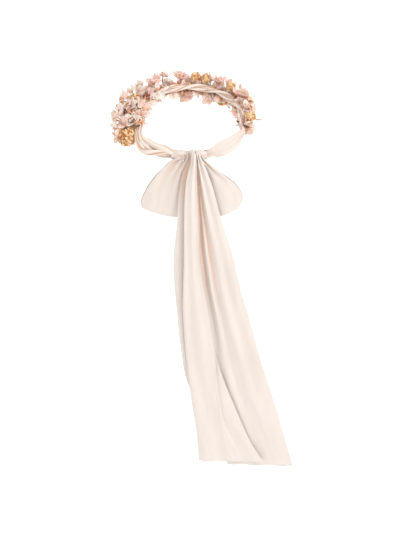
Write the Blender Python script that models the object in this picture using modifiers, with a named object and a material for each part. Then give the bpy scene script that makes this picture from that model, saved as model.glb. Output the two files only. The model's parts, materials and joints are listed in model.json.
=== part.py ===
"""Flower crown: a wired hoop of blossoms with a twisted ribbon band, tied behind in a bow with two tails.

Frame: the origin is the centre of the head opening, on the hoop's own level. +Z is up out of the head, +Y
points to the wearer's forehead and -Y to the bow at the back, so +X is the wearer's right. Angles round the
hoop are degrees from +X towards +Y: 90 is the forehead and 270 the nape. Round the hoop's own cross-section,
the clock is 0 outwards, 90 up, 180 inwards and -90 down.
"""

from math import asin, atan2, cos, degrees, hypot, pi, radians, sin

import bmesh
import bpy
from mathutils import Matrix, Vector

MM = 0.001

# Driving sizes
HOOP_WIDTH = 194 * MM
HOOP_DEPTH = 206 * MM
WIRE_RADIUS = 1.0 * MM
TAPE_WALL = 0.7 * MM
TIE_RADIUS = 0.5 * MM
STEM_RADIUS = 0.9 * MM
TWIG_RADIUS = 0.8 * MM
BLOSSOM_DIAMETER = 30 * MM
BLOSSOM_DEPTH = 9 * MM
PETAL_THICKNESS = 1.2 * MM
CLUSTER_DIAMETER = 17 * MM
BIG_CLUSTER_DIAMETER = 33 * MM
POD_DIAMETER = 8 * MM
POD_LENGTH = 15 * MM
BUD_DIAMETER = 10 * MM
LEAF_WIDTH = 8 * MM
LEAF_LENGTH = 20 * MM
STRAND_RADIUS = 3.4 * MM  # among the flowers
STRAND_FULL_RADIUS = 5.6 * MM  # behind the left ear
STRAND_END_RADIUS = 2.7 * MM  # in the eyelet
STRAND_TURNS = 4.0
SPAN_HEIGHT = 35 * MM
SPAN_THICKNESS = 6 * MM
SPAN_END_HEIGHT = 10 * MM
KNOT_WIDTH = 26 * MM
KNOT_DEPTH = 17 * MM
KNOT_HEIGHT = 19 * MM
LOOP_LENGTH = 131 * MM
LOOP_WIDTH = 80 * MM
LOOP_THICKNESS = 14 * MM
LOOP_ROOT_WIDTH = 6 * MM
LOOP_SPACING = 14 * MM
FRONT_TAIL_LENGTH = 706 * MM
REAR_TAIL_LENGTH = 722 * MM
TAIL_THICKNESS = 5 * MM
TAIL_TOP_WIDTH = 16 * MM
TAIL_HEM_WIDTH = 128 * MM
FRONT_TAIL_DRIFT = 79 * MM  # how far the middle of the hem hangs to the right of the knot
REAR_TAIL_DRIFT = 137 * MM
HEM_RISE = 6 * MM

# Clearances
FIT = 0.3 * MM
HEAD_GAP = 2.6 * MM
SEAT_GAP = 0.8 * MM

TAPE_RADIUS = WIRE_RADIUS + FIT + TAPE_WALL
EYELET_RADIUS = 2 * STRAND_END_RADIUS + SEAT_GAP + WIRE_RADIUS
HOOP_MEAN_RADIUS = (HOOP_WIDTH + HOOP_DEPTH) / 4

# Angles in degrees
NAPE = 270
WIRE_END_GAP = 11  # from the nape to each end of the wire
TAPE_SETBACK = 4  # bare wire before an eyelet
EYELET_CLOCK = -18
EYELET_SWEEP = 318
STRAND_CLOCK = 135
BAND_OVERRUN = 5  # how far inside the garland's right end the band ends and the span begins
SPAN_CROSSING = 17  # the stretch in which the span crosses over the hoop
SPAN_OPENING = 24  # the stretch in which the span opens out, and gathers again
LEFT_LOOP_DROOP = 25  # from straight down to the loop's middle line
RIGHT_LOOP_DROOP = 29

BLOSSOM_PETALS = 5
PETAL_NOTCH = 0.72  # the rim's radius between petals, as a share of the blossom's

COLOURS = {
    "wire": ((0.55, 0.52, 0.48), 0.35, 1.0),
    "tape": ((0.42, 0.30, 0.18), 0.80, 0.0),
    "ribbon": ((0.93, 0.83, 0.76), 0.65, 0.0),
    "pink_petal": ((0.86, 0.60, 0.60), 0.70, 0.0),
    "pale_petal": ((0.93, 0.83, 0.78), 0.70, 0.0),
    "gold_floret": ((0.78, 0.55, 0.24), 0.75, 0.0),
    "copper_pod": ((0.52, 0.20, 0.09), 0.55, 0.0),
    "leaf": ((0.88, 0.80, 0.66), 0.70, 0.0),
}

# The garland, from the wearer's right round the forehead to the left. Each flower has its kind, its stem's
# length in head radii, how far its clock leans from the row's, and the free millimetres left before it.
UPPER_ROW = (
    ("gold_cluster", 0.94, -8, 0),
    ("pink_blossom", 0.6, -6, 0),
    ("copper_pod", 2.2, -4, 0),
    ("pink_blossom", 0.67, 0, 0),
    ("gold_cluster", 1.18, 0, 0),
    ("pink_blossom", 0.8, 0, 0),
    ("gold_cluster", 1.18, 4, 0),
    ("gold_cluster", 1.29, -2, 0),
    ("pink_blossom", 0.8, 2, 0),
    ("round_bud", 2.2, 0, 0),
    ("twig", 20, 0, 0),
    ("pink_blossom", 0.8, 3, 0),
    ("pale_blossom", 0.73, 0, 0),
    ("gold_cluster", 1.18, 2, 0),
    ("pink_blossom", 0.8, 0, 0),
    ("copper_pod", 2.5, 4, 0),
    ("pale_blossom", 0.67, 4, 0),
)
OUTER_ROW = (
    ("pink_blossom", 0.2, -52, 0),
    ("twig", 17, -2, 0),
    ("gold_cluster", 0.47, -4, 0),
    ("pink_blossom", 0.47, -6, 0),
    ("gold_cluster", 0.94, -4, 0),
    ("pink_blossom", 0.6, -4, 0),
    ("pale_blossom", 0.6, -4, 0),
    ("gold_cluster", 1.06, -4, 0),
    ("pink_blossom", 0.6, -4, 0),
    ("pale_blossom", 0.6, -4, 0),
    ("pink_blossom", 0.6, -4, 0),
    ("pink_blossom", 0.67, -4, 0),
    ("copper_pod", 2.5, -4, 0),
    ("twig", 21, 2, 0),
    ("pink_blossom", 0.8, -4, 0),
    ("pink_blossom", 0.8, -8, 0),
    ("twig", 22, 4, 0),
    ("big_cluster", 0.24, -6, 0),
)
LOWER_ROW = (
    ("gold_cluster", 0.94, 4, 0),
    ("pink_blossom", 0.6, 0, 0),
    ("copper_pod", 2.2, 0, 0),
    ("gold_cluster", 1.06, 4, 0),
    ("pink_blossom", 0.6, 0, 0),
    ("cream_leaf", 1.25, 0, 0),
    ("pink_blossom", 0.53, 0, 0),
    ("round_bud", 1.2, 0, 0),
    ("pink_blossom", 0.6, 0, 42),
    ("pale_blossom", 0.6, 0, 2),
)
# Each row's clock, the angle of its middle and its flowers.
ROWS = (
    ("upper", 66, 94, UPPER_ROW),
    ("outer", 0, 97, OUTER_ROW),
    ("lower", -77, 90, LOWER_ROW),
)
TIES = (20, 66, 112, 158)  # each moves along the hoop to the nearest room between two stems


def hoop_axes(angle):
    """The hoop's point at an angle, and the unit vectors outwards and along it there."""
    turn = radians(angle)
    across, along = HOOP_WIDTH / 2, HOOP_DEPTH / 2
    point = Vector((across * cos(turn), along * sin(turn), 0))
    tangent = Vector((-across * sin(turn), along * cos(turn), 0)).normalized()
    outward = Vector((tangent.y, -tangent.x, 0))
    return point, outward, tangent


def clock_direction(angle, clock):
    """The direction away from the hoop's centreline at this place and clock."""
    _, outward, _ = hoop_axes(angle)
    return outward * cos(radians(clock)) + Vector((0, 0, sin(radians(clock))))


def beside_hoop(angle, clock, distance):
    return hoop_axes(angle)[0] + clock_direction(angle, clock) * distance


def smooth_step(value, start, end):
    """0 before start, 1 after end and an eased rise between; start may be the larger."""
    share = min(1.0, max(0.0, (value - start) / (end - start)))
    return share * share * (3 - 2 * share)


def clear_scene():
    for obj in list(bpy.data.objects):
        bpy.data.objects.remove(obj, do_unlink=True)


def new_material(name):
    colour, roughness, metallic = COLOURS[name]
    material = bpy.data.materials.new(name)
    material.use_nodes = True
    shader = material.node_tree.nodes["Principled BSDF"]
    shader.inputs["Base Color"].default_value = (*colour, 1)
    shader.inputs["Roughness"].default_value = roughness
    shader.inputs["Metallic"].default_value = metallic
    return material


def add_object(name, data, material, collection):
    obj = bpy.data.objects.new(name, data)
    obj.data.materials.append(material)
    collection.objects.link(obj)
    return obj


def mesh_from(name, shape):
    """A smooth-shaded mesh from a bmesh, whose faces are turned outwards first."""
    bmesh.ops.recalc_face_normals(shape, faces=shape.faces)
    mesh = bpy.data.meshes.new(name)
    shape.to_mesh(mesh)
    shape.free()
    mesh.shade_smooth()
    mesh.set_sharp_from_angle(angle=radians(40))
    return mesh


def tube_curve(name, points, radii, cyclic=False, resolution=1):
    """A round tube along points, with a radius at each."""
    curve = bpy.data.curves.new(name, "CURVE")
    curve.dimensions = "3D"
    curve.bevel_depth = 1.0
    curve.bevel_resolution = resolution
    curve.use_fill_caps = not cyclic
    spline = curve.splines.new("POLY")
    spline.points.add(len(points) - 1)
    for node, point, radius in zip(spline.points, points, radii):
        node.co = (*point, 1)
        node.radius = radius
    spline.use_cyclic_u = cyclic
    spline.use_smooth = True
    return curve


def turned(name, profile, steps, reshape=None):
    """A body turned about +Z from a profile of (radius, height), which starts and ends on the axis."""
    shape = bmesh.new()
    points = [shape.verts.new((radius, 0, height)) for radius, height in profile]
    edges = [shape.edges.new(pair) for pair in zip(points, points[1:])]
    bmesh.ops.spin(
        shape,
        geom=points + edges,
        cent=(0, 0, 0),
        axis=(0, 0, 1),
        angle=2 * pi,
        steps=steps,
        use_merge=True,
    )
    bmesh.ops.remove_doubles(shape, verts=shape.verts, dist=0.01 * MM)
    if reshape:
        for vertex in shape.verts:
            reshape(vertex, steps)
    return mesh_from(name, shape)


def loft(name, corners, sections):
    """A closed body through elliptical sections: each has a centre and two half-axis vectors."""
    shape = bmesh.new()
    rings = []
    for centre, side, rise in sections:
        ring = []
        for corner in range(corners):
            turn = 2 * pi * corner / corners
            ring.append(shape.verts.new(centre + side * cos(turn) + rise * sin(turn)))
        rings.append([shape.edges.new((a, b)) for a, b in zip(ring, ring[1:] + ring[:1])])
    for first, second in zip(rings, rings[1:]):
        bmesh.ops.bridge_loops(shape, edges=first + second)
    bmesh.ops.holes_fill(shape, edges=rings[0] + rings[-1], sides=0)
    return mesh_from(name, shape)


# Flowers: each is turned about its own stem, with the stem's foot at its origin.


def stem_profile(stem_length):
    """The stem's foot and its top, just under the flower head."""
    return [(0, 0), (STEM_RADIUS, 0), (STEM_RADIUS, stem_length)]


def blossom_mesh(name, stem_length):
    """Five cupped petals round a small dome. Between petals, the rim falls back along the cup."""
    radius, depth = BLOSSOM_DIAMETER / 2, BLOSSOM_DEPTH
    throat, dome = 0.16 * radius, 0.3 * depth
    base = stem_length + dome
    profile = stem_profile(stem_length) + [
        (throat, base),
        (0.68 * radius, base + 0.4 * depth),
        (radius, base + depth),
        (0.96 * radius, base + depth + PETAL_THICKNESS),
        (0.64 * radius, base + 0.4 * depth + PETAL_THICKNESS),
        (1.4 * throat, base + PETAL_THICKNESS),
        (0, base + PETAL_THICKNESS + dome),
    ]
    rim_height = base + 0.7 * depth

    def part_petals(vertex, steps):
        """Every third row of corners is a valley between petals."""
        turn = atan2(vertex.co.y, vertex.co.x) / (2 * pi) * steps
        if round(turn) % (steps // BLOSSOM_PETALS) == 0 and vertex.co.z > rim_height:
            vertex.co.x *= PETAL_NOTCH
            vertex.co.y *= PETAL_NOTCH
            vertex.co.z -= 0.5 * depth

    return turned(name, profile, 3 * BLOSSOM_PETALS, part_petals)


def cluster_mesh(name, stem_length, diameter):
    """A lumpy ball of small florets."""
    radius = diameter / 2
    centre = stem_length + 0.82 * radius
    profile = stem_profile(stem_length)
    for latitude in (-50, -18, 14, 46):
        turn = radians(latitude)
        profile.append((radius * cos(turn), centre + radius * sin(turn)))
    profile.append((0, centre + radius))

    def ripple(vertex, steps):
        """Every other row of corners sinks between florets."""
        turn = atan2(vertex.co.y, vertex.co.x) / (2 * pi) * steps
        row = round(vertex.co.z / (0.32 * radius))
        if vertex.co.xy.length > 2 * STEM_RADIUS and (round(turn) + row) % 2:
            vertex.co.x *= 0.86
            vertex.co.y *= 0.86

    return turned(name, profile, 10, ripple)


def ball_mesh(name, stem_length, diameter, length, flatten=1.0):
    """A pod, bud or leaf: an egg on its stem, squeezed across by flatten."""
    radius, steps = diameter / 2, 8
    profile = stem_profile(stem_length)
    for latitude in (-55, -15, 25, 60):
        turn = radians(latitude)
        height = stem_length + length * (0.5 + 0.5 * sin(turn))
        profile.append((radius * cos(turn), height))
    profile.append((0, stem_length + length))

    def squeeze(vertex, _steps):
        if vertex.co.z > stem_length:
            vertex.co.y *= flatten

    return turned(name, profile, steps, squeeze if flatten < 1 else None)


KINDS = {
    "pink_blossom": (BLOSSOM_DIAMETER, "pink_petal"),
    "pale_blossom": (BLOSSOM_DIAMETER, "pale_petal"),
    "gold_cluster": (CLUSTER_DIAMETER, "gold_floret"),
    "big_cluster": (BIG_CLUSTER_DIAMETER, "gold_floret"),
    "copper_pod": (POD_DIAMETER, "copper_pod"),
    "round_bud": (BUD_DIAMETER, "pale_petal"),
    "cream_leaf": (LEAF_WIDTH, "leaf"),
    "twig": (4 * TWIG_RADIUS, "tape"),
}


def flower_mesh(name, kind, stem_length):
    if kind.endswith("blossom"):
        return blossom_mesh(name, stem_length)
    if kind.endswith("cluster"):
        return cluster_mesh(name, stem_length, KINDS[kind][0])
    if kind == "copper_pod":
        return ball_mesh(name, stem_length, POD_DIAMETER, POD_LENGTH)
    if kind == "round_bud":
        return ball_mesh(name, stem_length, BUD_DIAMETER, BUD_DIAMETER)
    if kind == "twig":
        profile = [(0, 0), (TWIG_RADIUS, 0), (TWIG_RADIUS, stem_length / 2), (0, stem_length)]
        return turned(name, profile, 6)
    return ball_mesh(name, stem_length, LEAF_WIDTH, LEAF_LENGTH, flatten=0.3)


def row_angles(clock, middle, row):
    """Where each flower of a row stands: side by side, so that larger heads spread the row."""
    angle, angles, last = 0.0, [], None
    for kind, stem, lean, gap in row:
        diameter = KINDS[kind][0]
        if last is not None:
            spacing = (last + diameter) / 2 + HEAD_GAP + gap * MM
            reach = min(TAPE_RADIUS + stem * diameter / 2, BLOSSOM_DIAMETER / 2)
            angle += degrees(spacing / (HOOP_MEAN_RADIUS + reach * cos(radians(clock + lean))))
        angles.append(angle)
        last = diameter
    return [middle - angles[-1] / 2 + angle for angle in angles]


def stand_on_hoop(obj, angle, clock, roll=0.0):
    """Puts a flower's foot on the tape and its axis along the clock direction."""
    up = clock_direction(angle, clock)
    tangent = hoop_axes(angle)[2]
    axes = Matrix((tangent, up.cross(tangent), up)).transposed().to_4x4()
    foot = beside_hoop(angle, clock, TAPE_RADIUS + FIT)
    obj.matrix_world = Matrix.Translation(foot) @ axes @ Matrix.Rotation(roll, 4, "Z")


def add_garland(materials, collection):
    """Plants the three rows. Returns the angles where the garland begins and ends, and those of its stems."""
    counts, ends, stems = {}, [], []
    for row_name, clock, middle, row in ROWS:
        angles = row_angles(clock, middle, row)
        for (kind, stem, lean, _), angle in zip(row, angles):
            counts[kind] = counts.get(kind, 0) + 1
            name = f"{kind}_{row_name}_{counts[kind]:02d}"
            mesh = flower_mesh(name, kind, stem * KINDS[kind][0] / 2)
            obj = add_object(name, mesh, materials[KINDS[kind][1]], collection)
            stand_on_hoop(obj, angle, clock + lean, roll=0.9 * counts[kind])
            half = degrees(KINDS[kind][0] / 2 / HOOP_MEAN_RADIUS)
            ends += [angle - half, angle + half]
            stems.append(angle)
    return min(ends), max(ends), sorted(stems)


# The hoop: one wire whose ends are bent into eyelets for the ribbon, in a sleeve of floral tape.


def wire_ends():
    return NAPE - 360 + WIRE_END_GAP, NAPE - WIRE_END_GAP


def eyelet_points(angle, onwards):
    """The wire's end, bent round in the cross-section's plane, with onwards 1 or -1 along the hoop."""
    point, _, tangent = hoop_axes(angle)
    inward = clock_direction(angle, EYELET_CLOCK)
    across = clock_direction(angle, EYELET_CLOCK + 90)
    drift = 3 * WIRE_RADIUS
    points = []
    for turn in range(0, EYELET_SWEEP + 1, 24):
        ring = inward * (1 - cos(radians(turn))) + across * sin(radians(turn))
        points.append(point + ring * EYELET_RADIUS + tangent * onwards * drift * min(1, turn / 48))
    return points


def add_hoop(materials, collection):
    start, end = wire_ends()
    steps = 56
    bends = [start + (end - start) * step / steps for step in range(1, steps)]
    path = eyelet_points(start, -1)[::-1] + [hoop_axes(a)[0] for a in bends] + eyelet_points(end, 1)
    wire = tube_curve("hoop_wire", path, [WIRE_RADIUS] * len(path))
    add_object("hoop_wire", wire, materials["wire"], collection)

    first, last = start + TAPE_SETBACK, end - TAPE_SETBACK
    path = [hoop_axes(first + (last - first) * step / steps)[0] for step in range(steps + 1)]
    tape = tube_curve("floral_tape", path, [TAPE_RADIUS] * len(path))
    tape.use_fill_caps = False
    sleeve = add_object("floral_tape", tape, materials["tape"], collection)
    sleeve.modifiers.new("Weld", "WELD").merge_threshold = 0.01 * MM
    wall = sleeve.modifiers.new("Wall", "SOLIDIFY")
    wall.thickness = TAPE_WALL
    wall.offset = -1


# The ribbon: two strands twisted together round the hoop, one broad span on the right, the knot, two loops
# and two tails.


def strand_radius(angle, garland):
    """Strands are slim among the flowers, swell behind the left ear and narrow again to enter the eyelet."""
    swell = smooth_step(angle, garland[1] - 2, garland[1] + 18)
    pinch = smooth_step(angle, garland[1] + 18, wire_ends()[1] - 4)
    radius = STRAND_RADIUS + (STRAND_FULL_RADIUS - STRAND_RADIUS) * swell
    return radius + (STRAND_END_RADIUS - radius) * pinch


def pair_centre(angle, garland):
    """The middle of the twisted pair: inside and above the hoop, until it crosses over behind the left ear."""
    radius = strand_radius(angle, garland)
    crossing = smooth_step(angle, garland[1] - 18, garland[1] + 14)
    clock = STRAND_CLOCK + (EYELET_CLOCK - STRAND_CLOCK) * crossing
    distance = max(TAPE_RADIUS + SEAT_GAP + 2 * radius, EYELET_RADIUS)
    into_eyelet = smooth_step(angle, wire_ends()[1] - 7, wire_ends()[1] - 1)
    distance += (EYELET_RADIUS - distance) * into_eyelet
    return beside_hoop(angle, clock, distance), clock


def add_strands(materials, collection, garland, first, last):
    steps = 50
    for name, phase in (("ribbon_strand_upper", 0), ("ribbon_strand_lower", pi)):
        points, radii = [], []
        for step in range(steps + 1):
            angle = first + (last - first) * step / steps
            centre, clock = pair_centre(angle, garland)
            onward = (pair_centre(angle + 1, garland)[0] - centre).normalized()
            turn = phase + radians(clock) + 2 * pi * STRAND_TURNS * step / steps
            radius = strand_radius(angle, garland)
            side = clock_direction(angle, degrees(turn))
            side = (side - onward * side.dot(onward)).normalized()
            points.append(centre + side * (radius + FIT / 2))
            radii.append(radius - FIT / 2)
        strand = tube_curve(name, points, radii, resolution=2)
        add_object(name, strand, materials["ribbon"], collection)


def add_span(materials, collection, first, last):
    """The broad right span leaves the band inside the hoop, crosses over it and opens out, then gathers again
    to enter the eyelet. Each of its sections just clears the tape."""
    sections, steps = [], 30
    for step in range(steps + 1):
        angle = first + (last - first) * step / steps
        crossing = smooth_step(angle, first - 1, first - 1 - SPAN_CROSSING)
        opening = smooth_step(angle, first - 6, first - SPAN_OPENING)
        opening *= smooth_step(angle, last + 2, last + SPAN_OPENING)
        depth = STRAND_RADIUS + (SPAN_THICKNESS / 2 - STRAND_RADIUS) * opening
        rise = (SPAN_END_HEIGHT + (SPAN_HEIGHT - SPAN_END_HEIGHT) * opening) / 2
        clock = STRAND_CLOCK + (EYELET_CLOCK * (1 - opening) - STRAND_CLOCK) * crossing
        distance = TAPE_RADIUS + SEAT_GAP + hypot(depth * cos(radians(clock)), rise * sin(radians(clock)))
        distance += (EYELET_RADIUS - distance) * smooth_step(angle, last + 9, last + 3)
        outward = hoop_axes(angle)[1]
        centre = beside_hoop(angle, clock, distance)
        sections.append((centre, outward * depth, Vector((0, 0, rise))))
    mesh = loft("ribbon_span_right", 10, sections)
    add_object("ribbon_span_right", mesh, materials["ribbon"], collection)


def tie_angle(wanted, stems):
    """The nearest place to the wanted one where the tie has room between two stems."""
    room = 2 * degrees((STEM_RADIUS + 2 * TIE_RADIUS + FIT) / HOOP_MEAN_RADIUS)
    places = [(first + second) / 2 for first, second in zip(stems, stems[1:]) if second - first > room]
    return min(places, key=lambda place: abs(place - wanted))


def add_ties(materials, collection, garland):
    """Thin wire ties, each round the taped hoop and the ribbon band together."""
    for number, wanted in enumerate(TIES, 1):
        angle = tie_angle(wanted, garland[2])
        band_radius = 2 * strand_radius(angle, garland) + SEAT_GAP + TIE_RADIUS
        hoop_radius = TAPE_RADIUS + FIT + TIE_RADIUS
        centre, clock = pair_centre(angle, garland)
        hoop_centre = hoop_axes(angle)[0]
        spread = degrees(asin((band_radius - hoop_radius) / (centre - hoop_centre).length))
        points = []
        for step in range(13):
            turn = clock - (90 + spread) + 2 * (90 + spread) * step / 12
            points.append(centre + clock_direction(angle, turn) * band_radius)
        for step in range(7):
            turn = clock + 90 + spread + 2 * (90 - spread) * step / 6
            points.append(hoop_centre + clock_direction(angle, turn) * hoop_radius)
        tie = tube_curve(f"tie_wire_{number}", points, [TIE_RADIUS] * len(points), cyclic=True, resolution=0)
        add_object(tie.name, tie, materials["wire"], collection)


def knot_centre():
    """The knot hangs on the ribbon between the two eyelets."""
    return beside_hoop(NAPE, EYELET_CLOCK, EYELET_RADIUS)


def add_knot(materials, collection):
    """A flattened ball, pinched where the ribbon enters it from the left and the right."""
    centre = knot_centre()
    sections = []
    for share in (-1.0, -0.92, -0.7, -0.35, 0, 0.35, 0.7, 0.92, 1.0):
        girth = (1 - share * share) ** 0.5 if abs(share) < 1 else 0.2
        middle = centre + Vector((share * KNOT_WIDTH / 2, 0, 0))
        side = Vector((0, girth * KNOT_DEPTH / 2, 0))
        sections.append((middle, side, Vector((0, 0, girth * KNOT_HEIGHT / 2))))
    add_object("bow_knot", loft("bow_knot", 12, sections), materials["ribbon"], collection)


def loop_mesh(name, side, droop):
    """One bow loop lying flat. It fans out from the knot to its rounded fold, and its root is the origin."""
    along = Vector((side * sin(radians(droop)), 0, -cos(radians(droop))))
    across = Vector((cos(radians(droop)), 0, side * sin(radians(droop))))
    sections = []
    for share in (0.0, 0.07, 0.2, 0.38, 0.58, 0.76, 0.9, 0.97, 1.0):
        rounding = (1 - max(0.0, (share - 0.72) / 0.3) ** 2.6) ** 0.5
        spread = min(1.0, share / 0.85) ** 0.65
        width = LOOP_ROOT_WIDTH + (LOOP_WIDTH - LOOP_ROOT_WIDTH) * spread
        width *= 0.3 + 0.7 * rounding
        thickness = LOOP_THICKNESS * (0.45 + 0.55 * smooth_step(share, 0, 0.5)) * (0.3 + 0.7 * rounding)
        sections.append((along * LOOP_LENGTH * share, across * width / 2, Vector((0, thickness / 2, 0))))
    return loft(name, 12, sections)


def add_loops(materials, collection):
    """Both loops hang out and down from under the knot."""
    root = knot_centre() + Vector((0, 0, -KNOT_HEIGHT / 2 - SEAT_GAP))
    sides = (("bow_loop_left", -1, LEFT_LOOP_DROOP), ("bow_loop_right", 1, RIGHT_LOOP_DROOP))
    for name, side, droop in sides:
        loop = add_object(name, loop_mesh(name, side, droop), materials["ribbon"], collection)
        loop.location = root + Vector((side * LOOP_SPACING / 2, 0, 0))


def tail_mesh(name, layer, length, drift, drift_power, opening):
    """A tail's sheet: gathered at the knot, it opens to its hem and drifts to the right. Layer 0 lies nearest
    the loops, and both hang from one line at the origin."""
    shape = bmesh.new()
    bmesh.ops.create_grid(shape, x_segments=5, y_segments=14, size=0.5)
    for vertex in shape.verts:
        across, down = vertex.co.x, 0.5 - vertex.co.y
        width = TAIL_TOP_WIDTH + (TAIL_HEM_WIDTH - TAIL_TOP_WIDTH) * opening(down)
        vertex.co.x = drift * down**drift_power + across * width
        vertex.co.y = -(TAIL_THICKNESS + SEAT_GAP) * layer
        vertex.co.z = -length * down - HEM_RISE * across * down
    return mesh_from(name, shape)


def add_tails(materials, collection):
    """Both tails hang outside the loops. The front one is outermost and the rear one opens out sooner."""
    rear_size = REAR_TAIL_LENGTH, REAR_TAIL_DRIFT, 1.6
    rear = tail_mesh("ribbon_tail_rear", 0, *rear_size, lambda down: 1 - (1 - down) ** 4)
    front_size = FRONT_TAIL_LENGTH, FRONT_TAIL_DRIFT, 2.2
    front = tail_mesh("ribbon_tail_front", 1, *front_size, lambda down: down**1.5)
    for mesh in (rear, front):
        tail = add_object(mesh.name, mesh, materials["ribbon"], collection)
        tail.location = knot_centre() + Vector((0, -KNOT_DEPTH / 2 - SEAT_GAP, 0))
        thick = tail.modifiers.new("Thickness", "SOLIDIFY")
        thick.thickness = TAIL_THICKNESS
        thick.offset = 1


def build():
    clear_scene()
    collection = bpy.data.collections.new("flower_crown")
    bpy.context.scene.collection.children.link(collection)
    materials = {name: new_material(name) for name in COLOURS}
    add_hoop(materials, collection)
    garland = add_garland(materials, collection)
    band_start = garland[0] + BAND_OVERRUN
    knot_half = degrees(asin((KNOT_WIDTH / 2 + 2 * FIT) / (HOOP_WIDTH / 2)))
    add_strands(materials, collection, garland, band_start, NAPE - knot_half)
    add_span(materials, collection, band_start - 0.6, NAPE - 360 + knot_half)
    add_ties(materials, collection, garland)
    add_knot(materials, collection)
    add_loops(materials, collection)
    add_tails(materials, collection)


build()
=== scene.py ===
"""Flower crown: the finished look of a wired hoop of blossoms with a twisted ribbon band, tied behind in a
bow with two long tails. Lengths are metres; +Z is up, -Y is the bow's side and +X the wearer's right. Angles
round the hoop run from +X towards +Y, and the clock round its cross-section is 0 outwards and 90 up."""

import json
from math import atan2, cos, degrees, hypot, pi, radians, sin
from random import Random

import bmesh
import bpy
from mathutils import Matrix, Vector, noise
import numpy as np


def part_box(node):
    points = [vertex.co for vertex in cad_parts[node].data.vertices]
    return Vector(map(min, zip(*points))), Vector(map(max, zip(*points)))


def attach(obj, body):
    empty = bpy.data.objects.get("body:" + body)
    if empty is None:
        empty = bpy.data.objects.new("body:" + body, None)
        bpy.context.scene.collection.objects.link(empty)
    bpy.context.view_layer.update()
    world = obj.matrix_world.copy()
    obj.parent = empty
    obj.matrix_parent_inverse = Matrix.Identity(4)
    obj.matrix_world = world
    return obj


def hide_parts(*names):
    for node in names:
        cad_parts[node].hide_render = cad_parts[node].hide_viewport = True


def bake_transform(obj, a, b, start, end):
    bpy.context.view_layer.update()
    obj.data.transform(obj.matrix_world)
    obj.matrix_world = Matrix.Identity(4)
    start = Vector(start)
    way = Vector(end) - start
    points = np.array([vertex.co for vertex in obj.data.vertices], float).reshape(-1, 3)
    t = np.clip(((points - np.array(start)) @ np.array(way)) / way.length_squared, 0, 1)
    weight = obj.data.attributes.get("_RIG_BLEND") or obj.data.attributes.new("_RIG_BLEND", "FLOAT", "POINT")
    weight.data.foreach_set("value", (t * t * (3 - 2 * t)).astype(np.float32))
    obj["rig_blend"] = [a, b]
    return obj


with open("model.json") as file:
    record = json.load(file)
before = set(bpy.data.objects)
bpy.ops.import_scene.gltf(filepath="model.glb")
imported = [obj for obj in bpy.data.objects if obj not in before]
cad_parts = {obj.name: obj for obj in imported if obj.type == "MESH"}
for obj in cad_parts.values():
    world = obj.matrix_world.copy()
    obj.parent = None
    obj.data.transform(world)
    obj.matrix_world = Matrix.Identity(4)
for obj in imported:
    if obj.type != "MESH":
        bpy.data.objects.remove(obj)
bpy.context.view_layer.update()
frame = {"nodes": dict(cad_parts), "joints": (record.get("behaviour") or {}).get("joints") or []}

MM = 0.001
CLOTH = 0.35 * MM  # a ribbon's wall, with its crinkle
PETAL = 0.3 * MM  # a petal's wall
RIBBON_WIDTH = 0.130
STRAND_RIBBON_WIDTH = 0.032
SPAN_RIBBON_WIDTH = 0.038
GOLDEN_TURN = 2.39996
EYELET_CLOCK, EYELET_REACH = -18, 7.2 * MM

# Repeated from the CAD, in metres.
REAR_TAIL_LENGTH, FRONT_TAIL_LENGTH = 0.722, 0.706

tape_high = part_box("floral_tape")[1]
TAPE_RADIUS = tape_high.z
HOOP_HALF_WIDTH = tape_high.x - TAPE_RADIUS
HOOP_HALF_DEPTH = tape_high.y - TAPE_RADIUS
HINGE = Vector(next(j for j in frame["joints"] if j["name"] == "front_tail_swing")["pos_m"])


# ---- Small tools ---------------------------------------------


def ease(value, start=0.0, end=1.0):
    """0 before start, 1 after end and an eased rise between."""
    share = min(1.0, max(0.0, (value - start) / (end - start)))
    return share * share * (3 - 2 * share)


def mix(first, second, share):
    return first + (second - first) * share


def smooth_line(stops, where):
    """The value at one place on a smooth line through stops of (place, value), places in rising order."""
    if where <= stops[0][0]:
        return stops[0][1]
    if where >= stops[-1][0]:
        return stops[-1][1]
    index = max(i for i, stop in enumerate(stops[:-1]) if stop[0] <= where)

    def slope(i):
        before, after = stops[max(i - 1, 0)], stops[min(i + 1, len(stops) - 1)]
        return (after[1] - before[1]) / (after[0] - before[0])

    (x0, y0), (x1, y1) = stops[index], stops[index + 1]
    span = x1 - x0
    t = (where - x0) / span
    return (
        y0 * (1 + 2 * t) * (1 - t) ** 2
        + slope(index) * span * t * (1 - t) ** 2
        + y1 * t * t * (3 - 2 * t)
        - slope(index + 1) * span * t * t * (1 - t)
    )


def through(values, share):
    """The value at share, 0 to 1, of a smooth line through evenly spaced values."""
    last = len(values) - 1
    return smooth_line([(i / last, value) for i, value in enumerate(values)], share)


def hoop_axes(angle):
    """The hoop's point at an angle, and the unit vectors outwards and along it there."""
    turn = radians(angle)
    point = Vector((HOOP_HALF_WIDTH * cos(turn), HOOP_HALF_DEPTH * sin(turn), 0))
    tangent = Vector((-HOOP_HALF_WIDTH * sin(turn), HOOP_HALF_DEPTH * cos(turn), 0)).normalized()
    return point, Vector((tangent.y, -tangent.x, 0)), tangent


def clock_direction(angle, clock):
    _, outward, _ = hoop_axes(angle)
    return outward * cos(radians(clock)) + Vector((0, 0, sin(radians(clock))))


def beside_hoop(angle, clock, distance):
    return hoop_axes(angle)[0] + clock_direction(angle, clock) * distance


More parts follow.
